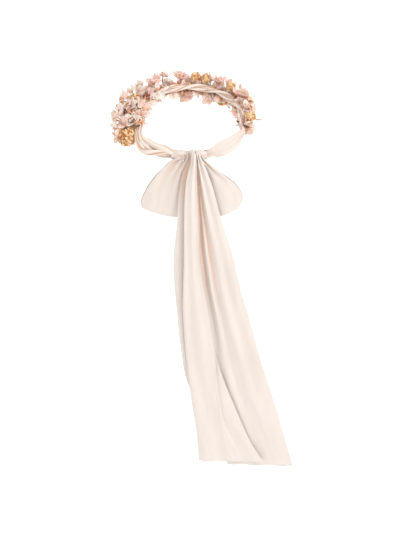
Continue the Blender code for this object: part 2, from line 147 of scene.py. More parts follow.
def finish_piece(name, shape, materials, body="crown", thickness=0.0, replaces=()):
    """Makes the object from a bmesh, with walls, finishes and smooth shading, and rides it on its body."""
    bmesh.ops.recalc_face_normals(shape, faces=shape.faces)
    mesh = bpy.data.meshes.new(name)
    shape.to_mesh(mesh)
    shape.free()
    mesh.shade_smooth()
    piece = bpy.data.objects.new(name, mesh)
    bpy.context.scene.collection.objects.link(piece)
    for material in materials:
        mesh.materials.append(material)
    if thickness:
        wall = piece.modifiers.new("wall", "SOLIDIFY")
        wall.thickness = thickness
        wall.offset = 0
    if body:
        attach(piece, body)
    if replaces:
        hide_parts(*replaces)
    return piece


# ---- Shader parts --------------------------------------------


def feed(tree, socket, value):
    """Links an input to the socket that feeds it, or sets its value."""
    if isinstance(value, bpy.types.NodeSocket):
        tree.links.new(value, socket)
    elif isinstance(value, tuple) and socket.type == "RGBA":
        socket.default_value = (*value, 1)
    else:
        socket.default_value = value


def add_node(tree, kind, inputs=None, **settings):
    """A node with its settings; inputs are values or the sockets that feed them."""
    node = tree.nodes.new(kind)
    for key, value in settings.items():
        setattr(node, key, value)
    for key, value in (inputs or {}).items():
        feed(tree, node.inputs[key], value)
    return node


def ramp(tree, source, stops):
    """A colour ramp through stops of (place, colour)."""
    node = add_node(tree, "ShaderNodeValToRGB", {"Fac": source})
    elements = node.color_ramp.elements
    while len(elements) < len(stops):
        elements.new(0.5)
    for element, (place, colour) in zip(elements, stops):
        element.position, element.color = place, (*colour, 1)
    return node.outputs["Color"]


def blend_colours(tree, first, second, share):
    node = add_node(tree, "ShaderNodeMix", {0: share, 6: first, 7: second}, data_type="RGBA")
    return node.outputs[2]


def calculate(tree, how, first, second=0.5):
    return add_node(tree, "ShaderNodeMath", {0: first, 1: second}, operation=how).outputs[0]


def noise_texture(tree, place, scale, detail, roughness=0.5):
    inputs = {"Vector": place, "Scale": scale, "Detail": detail, "Roughness": roughness}
    return add_node(tree, "ShaderNodeTexNoise", inputs).outputs["Fac"]


def new_group(name, inputs, outputs):
    """An empty shader node group. Inputs are (name, default), outputs names."""
    group = bpy.data.node_groups.new(name, "ShaderNodeTree")
    for label, default in inputs:
        kind = "NodeSocketVector" if default is None else "NodeSocketFloat"
        socket = group.interface.new_socket(label, in_out="INPUT", socket_type=kind)
        if default is not None:
            socket.default_value = default
    for label in outputs:
        group.interface.new_socket(label, in_out="OUTPUT", socket_type="NodeSocketFloat")
    return group, group.nodes.new("NodeGroupInput"), group.nodes.new("NodeGroupOutput")


def make_weave_group():
    """Crinkled plain weave on flat cloth coordinates in metres: thread height, and broad uneven tone."""
    group, given, result = new_group(
        "plain_weave", [("Flat", None), ("Threads per metre", 1600), ("Crinkle", 0.5)], ["Height", "Tone"]
    )
    split = add_node(group, "ShaderNodeSeparateXYZ", {0: given.outputs["Flat"]})
    turn = calculate(group, "MULTIPLY", given.outputs["Threads per metre"], 2 * pi)
    warp = calculate(group, "SINE", calculate(group, "MULTIPLY", split.outputs[0], turn))
    weft = calculate(group, "SINE", calculate(group, "MULTIPLY", split.outputs[1], turn))
    threads = calculate(group, "MULTIPLY", warp, weft)
    lengthwise = {"Vector": given.outputs["Flat"], "Scale": (1, 0.12, 1)}
    stretched = add_node(group, "ShaderNodeMapping", lengthwise).outputs[0]
    slubs = noise_texture(group, stretched, 260, 3, 0.6)
    crinkle = calculate(group, "MULTIPLY", slubs, given.outputs["Crinkle"])
    fine = calculate(group, "MULTIPLY", threads, 0.12)
    group.links.new(calculate(group, "ADD", crinkle, fine), result.inputs["Height"])
    group.links.new(noise_texture(group, stretched, 40, 4, 0.55), result.inputs["Tone"])
    return group


def make_vein_group():
    """A petal's veins, rim and mottling on its own coordinates, from root to tip and across."""
    group, given, result = new_group(
        "petal_veins", [("Petal", None), ("Veins", 7.0), ("Tint", 0.5)], ["Height", "Rim", "Mottle"]
    )
    split = add_node(group, "ShaderNodeSeparateXYZ", {0: given.outputs["Petal"]})
    along, across = split.outputs[0], split.outputs[1]
    centred = calculate(group, "SUBTRACT", across, 0.5)
    fan = calculate(group, "DIVIDE", centred, calculate(group, "ADD", along, 0.35))
    spot = add_node(group, "ShaderNodeCombineXYZ", {0: across, 1: along, 2: given.outputs["Tint"]})
    mottle = noise_texture(group, spot.outputs[0], 5, 3)
    wander = calculate(group, "MULTIPLY", mottle, 0.25)
    phase = calculate(group, "MULTIPLY", calculate(group, "ADD", fan, wander), given.outputs["Veins"])
    wave = calculate(group, "SINE", calculate(group, "MULTIPLY", phase, 2 * pi))
    ridge = calculate(group, "POWER", calculate(group, "ABSOLUTE", wave), 0.4)
    group.links.new(ridge, result.inputs["Height"])
    edge = calculate(group, "MULTIPLY", calculate(group, "ABSOLUTE", centred), 2.0)
    rim = calculate(group, "MAXIMUM", edge, along)
    group.links.new(calculate(group, "POWER", rim, 5.0), result.inputs["Rim"])
    group.links.new(mottle, result.inputs["Mottle"])
    return group


def make_grain_group():
    """Fine fibres and broad stains on object coordinates, for tape, bark, pods and florets."""
    group, given, result = new_group(
        "dry_grain", [("Place", None), ("Fineness", 900.0), ("Tint", 0.5)], ["Height", "Stain"]
    )
    place, fineness = given.outputs["Place"], given.outputs["Fineness"]
    group.links.new(noise_texture(group, place, fineness, 4, 0.65), result.inputs["Height"])
    broad = noise_texture(group, place, calculate(group, "MULTIPLY", fineness, 0.2), 3)
    shift = calculate(group, "SUBTRACT", given.outputs["Tint"], 0.5)
    group.links.new(calculate(group, "ADD", broad, shift), result.inputs["Stain"])
    return group


WEAVE, VEINS, GRAIN = make_weave_group(), make_vein_group(), make_grain_group()


def use_group(tree, group, inputs):
    return add_node(tree, "ShaderNodeGroup", inputs, node_tree=group).outputs


def new_material(name, roughness, **constants):
    """A material, its nodes and its shader. constants are the shader's sockets, with _ for each space."""
    material = bpy.data.materials.new(name)
    material.use_nodes = True
    shader = material.node_tree.nodes["Principled BSDF"]
    shader.inputs["Roughness"].default_value = roughness
    for key, value in constants.items():
        shader.inputs[key.replace("_", " ")].default_value = value
    return material, material.node_tree, shader


def add_bump(tree, shader, height, distance, strength=0.6):
    bump = add_node(tree, "ShaderNodeBump", {"Height": height, "Distance": distance, "Strength": strength})
    tree.links.new(bump.outputs["Normal"], shader.inputs["Normal"])


def attribute(tree, name):
    return add_node(tree, "ShaderNodeAttribute", attribute_name=name).outputs["Fac"]


def crepe_ribbon(name, lit, shaded, painted_shade, crinkle=0.5):
    """Soft matt crepe: lit on the ridges, with a warm painted shade blended in where a fold is deep."""
    material, tree, shader = new_material(name, 0.72, Sheen_Weight=0.25, Sheen_Roughness=0.5)
    flat = add_node(tree, "ShaderNodeUVMap", uv_map="flat").outputs["UV"]
    weave = use_group(tree, WEAVE, {"Flat": flat, "Crinkle": crinkle})
    tone = ramp(tree, weave["Tone"], [(0.3, shaded), (0.62, lit)])
    # Painted shade: a warm dark colour blended in where the sheet's mask marks a deep fold or recess.
    colour = blend_colours(tree, tone, painted_shade, attribute(tree, "painted_shade"))
    tree.links.new(colour, shader.inputs["Base Color"])
    add_bump(tree, shader, weave["Height"], 0.25 * MM, 0.5)
    return material


def petal_finish(name, root, blade, rim, veins=7.0, roughness=0.6):
    """A dyed fabric petal: deeper at its root, veined, with an uneven rim."""
    material, tree, shader = new_material(
        name, roughness, Sheen_Weight=0.15, Subsurface_Weight=0.35,
        Subsurface_Radius=(0.006, 0.003, 0.002), Subsurface_Scale=0.5,
    )
    place = add_node(tree, "ShaderNodeUVMap", uv_map="flat").outputs["UV"]
    tint = attribute(tree, "tint")
    vein = use_group(tree, VEINS, {"Petal": place, "Veins": veins, "Tint": tint})
    along = add_node(tree, "ShaderNodeSeparateXYZ", {0: place}).outputs[0]
    colour = ramp(tree, along, [(0.05, root), (0.38, blade), (1.0, blade)])
    colour = blend_colours(tree, colour, rim, calculate(tree, "MULTIPLY", vein["Rim"], 0.7))
    mottle = calculate(tree, "MULTIPLY", vein["Mottle"], 0.5)
    worn = calculate(tree, "ADD", calculate(tree, "MULTIPLY", tint, 0.5), mottle)
    colour = blend_colours(tree, colour, rim, calculate(tree, "MULTIPLY", worn, 0.45))
    tree.links.new(colour, shader.inputs["Base Color"])
    add_bump(tree, shader, vein["Height"], 0.2 * MM, 0.7)
    return material


def dry_finish(name, dark, middle, light, fineness=900.0, roughness=0.8, depth=0.2, metallic=0.0):
    """A dry plant or paper surface, stained unevenly. depth is its grain's, in millimetres."""
    material, tree, shader = new_material(name, roughness, Metallic=metallic)
    place = add_node(tree, "ShaderNodeTexCoord").outputs["Object"]
    grain = use_group(tree, GRAIN, {"Place": place, "Fineness": fineness, "Tint": attribute(tree, "tint")})
    stain = ramp(tree, grain["Stain"], [(0.25, dark), (0.5, middle), (0.78, light)])
    tree.links.new(stain, shader.inputs["Base Color"])
    add_bump(tree, shader, grain["Height"], depth * MM)
    return material


def drawn_wire(name):
    """Soft steel wire, drawn lengthwise."""
    material, tree, shader = new_material(name, 0.35, Metallic=1.0)
    place = add_node(tree, "ShaderNodeTexCoord").outputs["Object"]
    grain = use_group(tree, GRAIN, {"Place": place, "Fineness": 2500.0, "Tint": 0.5})
    tone = ramp(tree, grain["Stain"], [(0.3, (0.42, 0.39, 0.35)), (0.7, (0.62, 0.59, 0.54))])
    tree.links.new(tone, shader.inputs["Base Color"])
    scratched = calculate(tree, "MULTIPLY", grain["Height"], 0.3)
    tree.links.new(calculate(tree, "ADD", scratched, 0.2), shader.inputs["Roughness"])
    add_bump(tree, shader, grain["Height"], 0.05 * MM, 0.4)
    return material


# Each ribbon's third colour is painted shade for its fold valleys and recesses.
RIBBON = crepe_ribbon("blush_crepe_ribbon", (0.77, 0.705, 0.66), (0.71, 0.635, 0.585), (0.76, 0.49, 0.35))
BAND_RIBBON = crepe_ribbon("blush_crepe_band", (0.87, 0.78, 0.71), (0.81, 0.69, 0.6), (0.5, 0.25, 0.13), 0.7)
PINK = petal_finish("dusty_pink_petal", (0.79, 0.34, 0.16), (0.99, 0.69, 0.61), (0.99, 0.85, 0.78))
ROSE = petal_finish("rose_petal", (0.73, 0.26, 0.12), (0.96, 0.57, 0.49), (0.99, 0.78, 0.71))
PALE = petal_finish("pale_blush_petal", (0.88, 0.52, 0.31), (0.98, 0.81, 0.71), (0.99, 0.91, 0.84), 9.0)
GOLD = dry_finish("gold_floret", (0.62, 0.27, 0.08), (0.90, 0.55, 0.26), (0.97, 0.78, 0.52), 500.0)
HUSK = dry_finish("brown_husk", (0.36, 0.14, 0.04), (0.56, 0.27, 0.10), (0.72, 0.42, 0.18))
COPPER = dry_finish("copper_pod", (0.32, 0.09, 0.04), (0.50, 0.17, 0.07), (0.70, 0.33, 0.17), 700.0, 0.5, 0.3)
STAMEN = dry_finish("stamen_gold", (0.52, 0.20, 0.06), (0.80, 0.44, 0.17), (0.93, 0.68, 0.38), 1500.0)
LEAF = petal_finish("cream_leaf", (0.74, 0.52, 0.33), (0.91, 0.76, 0.58), (0.82, 0.64, 0.46), 11.0, 0.7)
TWIG = dry_finish("twig_bark", (0.24, 0.13, 0.07), (0.38, 0.23, 0.14), (0.52, 0.35, 0.23), 1200.0)
TAPE = dry_finish("floral_tape_paper", (0.22, 0.13, 0.07), (0.36, 0.23, 0.13), (0.50, 0.35, 0.21), 700.0)
WIRE = drawn_wire("drawn_wire")


# ---- Flowers and tufts, built round +Z, with the wire or the foot at the origin ----


def start_flower():
    shape = bmesh.new()
    shape.loops.layers.uv.new("flat")
    shape.verts.layers.float.new("tint")
    return shape


def mark(shape, verts, tint, material):
    layer = shape.verts.layers.float["tint"]
    for vertex in verts:
        vertex[layer] = tint
        for face in vertex.link_faces:
            face.material_index = material


def add_petal(shape, place, length, width, tint, cup=0.3, point=0.0, ruffle=0.1, material=0, segments=(8, 6)):
    """One petal along +X from its root. It cups up towards its tip and sides, and its rim is ruffled."""
    along, across = segments
    grid = bmesh.ops.create_grid(shape, x_segments=along, y_segments=across, size=0.5, calc_uvs=True)
    phase = 20 * tint
    for vertex in grid["verts"]:
        share, side = vertex.co.x + 0.5, 2 * vertex.co.y
        rounded = 1.3 * share**0.5 * (1 - share ** (3.4 - 1.6 * point)) ** (0.5 + 0.4 * point)
        half_width = width / 2 * max(0.1, rounded)
        curl = cup * length * (0.55 * share**2 + 0.22 * side * side * share)
        wave = ruffle * length * share**2 * (0.35 * sin(5 * side + phase) + 0.2 * sin(9 * share + phase))
        reach = share * (1 - 0.06 * side * side * (1 - point))
        vertex.co = Vector((length * reach, side * half_width, curl + wave))
    bmesh.ops.transform(shape, verts=grid["verts"], matrix=place)
    mark(shape, grid["verts"], tint, material)


def petal_place(root, turn, lift, roll=0.0):
    """Turns a petal round the flower's stem, lifts it off the flat and rolls it about its own middle line."""
    return (
        Matrix.Translation(root)
        @ Matrix.Rotation(turn, 4, "Z")
        @ Matrix.Rotation(-lift, 4, "Y")
        @ Matrix.Rotation(roll, 4, "X")
    )


def leaning(turn, lean):
    """A unit vector that leans from +Z, turned round it."""
    return Vector((sin(lean) * cos(turn), sin(lean) * sin(turn), cos(lean)))


def aimed(spot, aim):
    """Puts what is built round +Z at a spot, with +Z along aim."""
    return Matrix.Translation(spot) @ aim.to_track_quat("Z", "Y").to_matrix().to_4x4()


def add_tube(shape, points, radii, sides, tint, material):
    """A tapered round stem through points, closed at both ends. Its radii are in millimetres."""
    rings, made = [], []
    for index, (point, radius) in enumerate(zip(points, radii)):
        before, after = points[max(index - 1, 0)], points[min(index + 1, len(points) - 1)]
        place = aimed(point, after - before)
        ring = bmesh.ops.create_circle(shape, segments=sides, radius=radius * MM, matrix=place)["verts"]
        made += ring
        rings.append(list(dict.fromkeys(edge for vertex in ring for edge in vertex.link_edges)))
    for first, second in zip(rings, rings[1:]):
        bmesh.ops.bridge_loops(shape, edges=first + second)
    bmesh.ops.holes_fill(shape, edges=rings[0] + rings[-1], sides=0)
    mark(shape, made, tint, material)


def add_ball(shape, centre, radius, tint, material, stretch=1.0, rings=6, sides=8):
    place = Matrix.Translation(centre) @ Matrix.Diagonal((radius, radius, radius * stretch, 1))
    ball = bmesh.ops.create_uvsphere(shape, u_segments=sides, v_segments=rings, radius=1, matrix=place)
    mark(shape, ball["verts"], tint, material)


def add_stamens(shape, root, count, reach, dice, material):
    """Fine threads that lean out of the flower's throat, each with its grain at the tip."""
    for number in range(count):
        aim = leaning(number * GOLDEN_TURN, 1.05 * (number / count) ** 0.5)
        tip = root + aim * reach * dice.uniform(0.8, 1.1)
        middle = (root + tip) / 2 + Vector((0, 0, 0.1 * reach))
        add_tube(shape, [root, middle, tip], [0.22, 0.16, 0.16], 3, dice.random(), material)
        add_ball(shape, tip, 0.85 * MM, dice.random(), material, rings=3, sides=5)


def add_stem(shape, length, tint, material):
    """A stem from the tape's surface up to a flower's base."""
    foot, tip = Vector((0, 0, TAPE_RADIUS)), Vector((0, 0, length))
    add_tube(shape, [foot, (foot + tip) / 2, tip], [1.0, 0.8, 0.9], 6, tint, material)


def blossom(shape, top, dice, pointed):
    """Five or six broad petals, an inner ring and a bunch of stamens over a husk."""
    root = Vector((0, 0, top - 9.5 * MM))
    add_stem(shape, root.z, dice.random(), 2)
    add_ball(shape, root, 1.9 * MM, dice.random(), 2, 1.2)
    count = dice.choice((5, 6, 6))
    first = dice.uniform(0, 2 * pi)
    cupped = dice.choice((0.0, 0.2, 0.45))
    rings = (  # turn, lifts, then lengths and widths in millimetres, and the petal's cells
        (0.0, (0.0, 0.45), (15.5, 19.5), (12.5, 15.5), (8, 7)),
        (0.5, (0.45, 0.95), (10, 14), (9, 11), (6, 6)),
    )
    for offset, lifts, lengths, widths, segments in rings:
        for number in range(count):
            turn = first + 2 * pi * (number + offset + dice.uniform(-0.18, 0.18)) / count
            start = root + Vector((0, 0, 1.6 * MM * offset))
            place = petal_place(start, turn, cupped + dice.uniform(*lifts), dice.uniform(-0.35, 0.35))
            length, width = dice.uniform(*lengths) * MM, dice.uniform(*widths) * MM
            tint, cup = dice.random(), dice.uniform(0.0, 0.35)
            add_petal(shape, place, length, width, tint, cup, pointed, segments=segments)
    add_ball(shape, root + Vector((0, 0, 2 * MM)), 2.0 * MM, dice.random(), 2, 0.9)
    add_stamens(shape, root + Vector((0, 0, 2.2 * MM)), 26, 6.2 * MM, dice, 1)


def add_floret(shape, place, radius, tint, material):
    """A five-lobed cup of ten small faces."""
    made = bmesh.ops.create_circle(shape, cap_ends=True, cap_tris=True, segments=10, radius=radius)["verts"]
    for vertex in made:
        if vertex.co.length < radius / 2:
            vertex.co.z = -0.45 * radius
            continue
        step = round(atan2(vertex.co.y, vertex.co.x) / (pi / 5))
        if step % 2:
            vertex.co *= 0.58
            vertex.co.z = -0.12 * radius
    bmesh.ops.transform(shape, verts=made, matrix=place)
    mark(shape, made, tint, material)


def floret_cluster(shape, top, radius, count, dice):
    """Small florets packed over a brown husk, as on a dried flower head."""
    centre = Vector((0, 0, top - radius))
    add_stem(shape, centre.z, dice.random(), 1)
    add_ball(shape, centre, 0.76 * radius, 0.95, 1, rings=10, sides=16)
    for number in range(count):
        height = 1 - 1.72 * (number + 0.5) / count
        turn = number * GOLDEN_TURN
        flat = (1 - height * height) ** 0.5
        aim = Vector((flat * cos(turn), flat * sin(turn), height))
        aim = (aim + Vector([dice.uniform(-0.16, 0.16) for _ in range(3)])).normalized()
        clump = 1 + 0.3 * noise.noise(aim * 2.2 + Vector((0, 0, top * 900)))
        spot = centre + aim * radius * dice.uniform(0.78, 1.14) * clump
        place = aimed(spot, aim) @ Matrix.Rotation(dice.uniform(0, pi), 4, "Z")
        add_floret(shape, place, dice.uniform(1.9, 3.0) * MM, dice.uniform(0.1, 0.95), 0)


def seed_pod(shape, top, dice):
    """A ribbed pod with a small open crown of husks at its tip."""
    length, radius = 15 * MM, 4 * MM
    root = top - length
    add_stem(shape, root, dice.random(), 1)
    stem = set(shape.verts)
    profile = (  # shares of the radius and of the length
        (0.0, 0.0), (0.45, 0.05), (0.85, 0.2), (1.0, 0.42),
        (0.86, 0.66), (0.5, 0.86), (0.36, 0.94), (0.0, 0.95),
    )
    points = [shape.verts.new((radius * out, 0, root + length * up)) for out, up in profile]
    edges = [shape.edges.new(pair) for pair in zip(points, points[1:])]
    bmesh.ops.spin(
        shape, geom=points + edges, cent=(0, 0, 0), axis=(0, 0, 1), angle=2 * pi, steps=24, use_merge=True
    )
    made = [vertex for vertex in shape.verts if vertex not in stem]
    bmesh.ops.remove_doubles(shape, verts=made, dist=0.01 * MM)
    made = [vertex for vertex in made if vertex.is_valid]
    for vertex in made:
        groove = 1 - 0.13 * (0.5 + 0.5 * cos(6 * atan2(vertex.co.y, vertex.co.x))) ** 2
        vertex.co.x *= groove
        vertex.co.y *= groove
    mark(shape, made, dice.random(), 0)
    for number in range(6):
        place = petal_place(Vector((0, 0, root + 0.9 * length)), number * pi / 3, 0.8)
        add_petal(shape, place, 3.4 * MM, 1.8 * MM, dice.random(), 0.3, 0.8, 0, 0, (3, 2))


def closed_bud(shape, top, dice):
    """A round bud wrapped in overlapping petals."""
    radius = 5 * MM
    centre = Vector((0, 0, top - radius))
    base = centre - Vector((0, 0, radius))
    add_stem(shape, centre.z - 0.8 * radius, dice.random(), 1)
    add_ball(shape, centre, 0.86 * radius, dice.random(), 0, 1.0, 8, 12)
    for number in range(7):
        place = petal_place(centre - Vector((0, 0, 0.98 * radius)), number * GOLDEN_TURN, 0.15)
        start = len(shape.verts)
        add_petal(shape, place, 2.3 * radius, 1.5 * radius, dice.random(), 0.0, 0.2, 0.03, 0, (8, 6))
        shape.verts.ensure_lookup_table()
        for vertex in shape.verts[start:]:  # each petal is drawn in over the ball
            out = (vertex.co - centre).normalized()
            climb = min(1.0, (vertex.co - base).length / (2.6 * radius))
            narrowing = 1 - climb**3
            out = Vector((out.x * narrowing, out.y * narrowing, mix(-1.0, 1.05, climb))).normalized()
            vertex.co = centre + out * radius * (0.93 + 0.025 * (number % 3))


def lance_leaf(shape, top, dice):
    """A narrow folded leaf on a short stem."""
    length = 20 * MM
    root = Vector((0, 0, top - length))
    add_stem(shape, root.z, dice.random(), 1)
    for lift, share, turn in ((1.5, 1.0, 0.0), (1.0, 0.7, 2.2), (0.95, 0.62, 4.3)):
        place = petal_place(root, turn, lift)
        add_petal(shape, place, length * share, 8.5 * MM * share, dice.random(), 0.08, 0.75, 0.05, 0, (12, 6))


def twig(shape, top, dice):
    """A thin crooked twig with buds along it."""
    points = [Vector((0, 0, TAPE_RADIUS + 0.3 * MM))]
    for step in range(1, 7):
        height = mix(TAPE_RADIUS, top, step / 6)
        bow = 2.2 * MM * sin(pi * step / 6)
        points.append(Vector((bow + dice.uniform(-0.5, 0.5) * MM, dice.uniform(-0.6, 0.6) * MM, height)))
    add_tube(shape, points, [mix(0.75, 0.35, i / 6) for i in range(7)], 5, 0.4, 0)
    for index in range(2, 7):
        add_ball(shape, points[index], dice.uniform(0.8, 1.15) * MM, dice.random(), 1, 1.5, 4, 6)
        turn = index * GOLDEN_TURN
        tip = points[index] + Vector((cos(turn), sin(turn), 1.1)) * 2.6 * MM
        if index < 6:
            add_tube(shape, [points[index], tip], [0.4, 0.25], 4, 0.4, 0)
            add_ball(shape, tip, 0.85 * MM, dice.random(), 1, 1.4, 4, 6)


def stand_up(point, tangent, up):
    """Stands what is built round +Z at a point, with +Z along up."""
    return Matrix.Translation(point) @ Matrix((tangent, up.cross(tangent), up)).transposed().to_4x4()


def flower_stand(node):
    """The matrix that stands a flower across the hoop where its CAD node stands, and its height."""
    points = [vertex.co for vertex in frame["nodes"][node].data.vertices]
    middle = sum(points, Vector()) / len(points)
    angle = degrees(atan2(middle.y, middle.x))
    for _ in range(6):
        point, outward, tangent = hoop_axes(angle)
        angle += degrees((middle - point).dot(tangent) / (HOOP_HALF_DEPTH + (middle - point).dot(outward)))
    point, outward, tangent = hoop_axes(angle)
    up = (middle - point).normalized()
    top = max((corner - point).dot(up) for corner in points)
    return stand_up(point, tangent, up), top


KINDS = {  # the start of each flower node's name, and its slot
    "pink_blossom": "pink_petal",
    "pale_blossom": "pale_petal",
    "gold_cluster": "gold_floret",
    "big_cluster": "gold_floret",
    "copper_pod": "copper_pod",
    "round_bud": "pale_petal",
    "cream_leaf": "leaf",
    "twig": "twig",
}


def make_flower(node):
    """The finished flower in place of one CAD node."""
    kind = next(kind for kind in KINDS if node.startswith(kind))
    dice, shape = Random(node), start_flower()
    place, top = flower_stand(node)
    if kind == "pink_blossom":
        blossom(shape, top, dice, dice.choice((0.0, 0.1, 0.5)))
        materials = [dice.choice((PINK, PINK, ROSE)), STAMEN, HUSK]
    elif kind == "pale_blossom":
        blossom(shape, top, dice, 0.1)
        materials = [PALE, STAMEN, HUSK]
    elif kind.endswith("cluster"):
        radius, count = (16.5 * MM, 360) if kind == "big_cluster" else (8.5 * MM, 105)
        floret_cluster(shape, top, radius, count, dice)
        materials = [GOLD, HUSK]
    elif kind == "copper_pod":
        seed_pod(shape, top, dice)
        materials = [COPPER, TWIG]
    elif kind == "round_bud":
        closed_bud(shape, top, dice)
        materials = [PALE, TWIG]
    elif kind == "cream_leaf":
        lance_leaf(shape, top, dice)
        materials = [LEAF, TWIG]
    else:
        twig(shape, top, dice)
        materials = [TWIG, COPPER]
    bmesh.ops.transform(shape, verts=shape.verts, matrix=place)
    wall = 0 if kind in ("copper_pod", "twig") else PETAL
    finish_piece(f"look_{node}", shape, materials, thickness=wall, replaces=[node])


def petal_tuft(shape, dice):
    """Three or four loose petals."""
    for number in range(dice.choice((3, 4))):
        turn, lift = 2.1 * number + dice.uniform(-0.4, 0.4), dice.uniform(0.35, 1.2)
        place = petal_place(Vector((0, 0, 1 * MM)), turn, lift)
        length, width = dice.uniform(13, 18.5) * MM, dice.uniform(10.5, 15) * MM
        tint, cup, point = dice.random(), dice.uniform(0, 0.3), dice.choice((0.1, 0.6))
        add_petal(shape, place, length, width, tint, cup, point, segments=(7, 6))


def floret_tuft(shape, dice):
    """A spray of small gold florets."""
    for number in range(9):
        aim = leaning(number * GOLDEN_TURN, 0.85 * (number / 9) ** 0.5)
        spot = aim * dice.uniform(6.5, 9.5) * MM
        add_tube(shape, [aim * 1 * MM, spot], [0.4, 0.3], 3, dice.random(), 0)
        add_floret(shape, aimed(spot, aim), dice.uniform(1.9, 2.8) * MM, dice.uniform(0.2, 0.95), 0)


def leaf_tuft(shape, dice):
    """Two or three slim leaves."""
    for number in range(dice.choice((2, 3))):
        turn, lift = 2.4 * number + dice.uniform(-0.5, 0.5), dice.uniform(0.5, 1.2)
        place = petal_place(Vector((0, 0, 0)), turn, lift)
        add_petal(shape, place, dice.uniform(13, 18) * MM, 5 * MM, dice.random(), 0.1, 0.9, 0.05, 0, (8, 4))


def bud_tuft(shape, dice):
    """Two or three small brown buds."""
    for number in range(dice.choice((2, 3))):
        turn = 2.3 * number + dice.uniform(-0.5, 0.5)
        tip = Vector((0.55 * cos(turn), 0.55 * sin(turn), 1)) * dice.uniform(7, 10) * MM
        add_tube(shape, [Vector((0, 0, 0)), 0.5 * tip, tip], [0.5, 0.5, 0.4], 4, 0.2, 0)
        add_ball(shape, tip, dice.uniform(1.8, 2.5) * MM, dice.random(), 0, 1.5, 6, 9)


TUFTS = (  # name, maker, finish and slot
    ("petals", petal_tuft, PINK, "pink_petal"),
    ("rose_petals", petal_tuft, ROSE, "pink_petal"),
    ("florets", floret_tuft, GOLD, "gold_floret"),
    ("pale_petals", petal_tuft, PALE, "pale_petal"),
    ("leaves", leaf_tuft, LEAF, "leaf"),
    ("buds", bud_tuft, COPPER, "copper_pod"),
)
TUFT_ORDER = (0, 2, 3, 1, 2, 0, 5, 2, 3, 0, 4, 1, 2)  # rows of TUFTS, in turn
PETALS, BUDS = 0, 5
LOOSE_LIFT, STALK_LIFT = 11, 14  # tufts above these are set wider with no buds, and get a stalk

# Rows of tufts: clock, height of the foot above the tape in millimetres, first and last angle.
FILLER_ROWS = (
    (72, 0, -12, 203), (34, 0, -12, 203), (-4, 0, -12, 203), (-42, 0, -12, 203), (-80, 0, -12, 203),
    (-118, 0, -12, 190), (118, 10, 126, 204), (146, 12, 132, 196), (10, 26, 156, 206), (-24, 28, 158, 206),
    (40, 22, 100, 204), (35, 16, 20, 100), (-8, 12, 148, 206), (26, 13, 140, 206), (-44, 14, 150, 204),
    (84, 12, 150, 206), (104, 8, 186, 208), (134, 9, 184, 202),
)


def add_tuft(shape, kind, angle, clock, lift, dice):
    """Adds one tuft to a piece, with its foot by the hoop."""
    tuft = start_flower()
    TUFTS[kind][1](tuft, dice)
    if lift > STALK_LIFT:
        root, tip = Vector((0, 0, -lift * MM)), Vector((0, 0, 1 * MM))
        add_tube(tuft, [root, (root + tip) / 2, tip], [0.7, 0.6, 0.5], 5, 0.1, 0)
    up = clock_direction(angle, clock + dice.uniform(-12, 12))
    foot = beside_hoop(angle, clock, TAPE_RADIUS + lift * MM)
    turn = Matrix.Rotation(dice.uniform(0, 2 * pi), 4, "Z")
    place = stand_up(foot, hoop_axes(angle)[2], up) @ turn
    bmesh.ops.transform(tuft, verts=tuft.verts, matrix=place)
    carry = bpy.data.meshes.new("tuft")
    tuft.to_mesh(carry)
    tuft.free()
    shape.from_mesh(carry)
    bpy.data.meshes.remove(carry)


def make_filler():
    """Tufts between the flowers, so that the garland reads as one mass, in three parts round the hoop."""
    for part, (first, last) in enumerate(((-12, 60), (60, 135), (135, 203))):
        dice = Random(f"filler {part}")
        shapes = [start_flower() for _ in TUFTS]
        for row, (clock, lift, start, end) in enumerate(FILLER_ROWS):
            angle, number = max(first + 2.0 * row % 7, start), row * 3
            while angle < min(last, end):
                kind = TUFT_ORDER[number % len(TUFT_ORDER)]
                loose = lift > LOOSE_LIFT
                if loose and kind == BUDS:
                    kind = PETALS
                add_tuft(shapes[kind], kind, angle, clock, lift, dice)
                angle += dice.uniform(6.0, 8.5) + (1.5 if loose else 0)
                number += 1
        for (label, _, material, slot), shape in zip(TUFTS, shapes):
            finish_piece(f"filler_{label}_{part + 1}", shape, [material], thickness=PETAL)


# ---- Ribbon --------------------------------------------------


def cloth(across, along, flat, place):
    """An even sheet. place(share across, share along) gives each point, and how much painted shade it gets, most
    in deep folds.
    """
    shape = bmesh.new()
    uv = shape.loops.layers.uv.new("flat")
    # the painted-shade mask that the ribbon finishes read
    painted_shade = shape.verts.layers.float.new("painted_shade")
    bmesh.ops.create_grid(shape, x_segments=across, y_segments=along, size=0.5, calc_uvs=True)
    for vertex in shape.verts:
        vertex.co, vertex[painted_shade] = place(vertex.co.x + 0.5, vertex.co.y + 0.5)
    for face in shape.faces:
        for loop in face.loops:
            loop[uv].uv = loop[uv].uv[0] * flat[0], loop[uv].uv[1] * flat[1]
    return shape


def crinkle(point, size, coarse, seed):
    """Soft wrinkles that run down the cloth."""
    return size * noise.noise(Vector((point.x / coarse, point.y / coarse, 0.22 * point.z / coarse + seed)))


def make_ribbon(name, cells, flat, place, held, material=RIBBON, body="crown", **declared):
    """A stretch of ribbon, in place of its CAD node if it has one. Without a body, it is blended later."""
    node = name.removeprefix("look_")
    replaces = [node] if node in frame["nodes"] else []
    piece = finish_piece(name, cloth(*cells, flat, place), [material], body, CLOTH, replaces)
    return piece


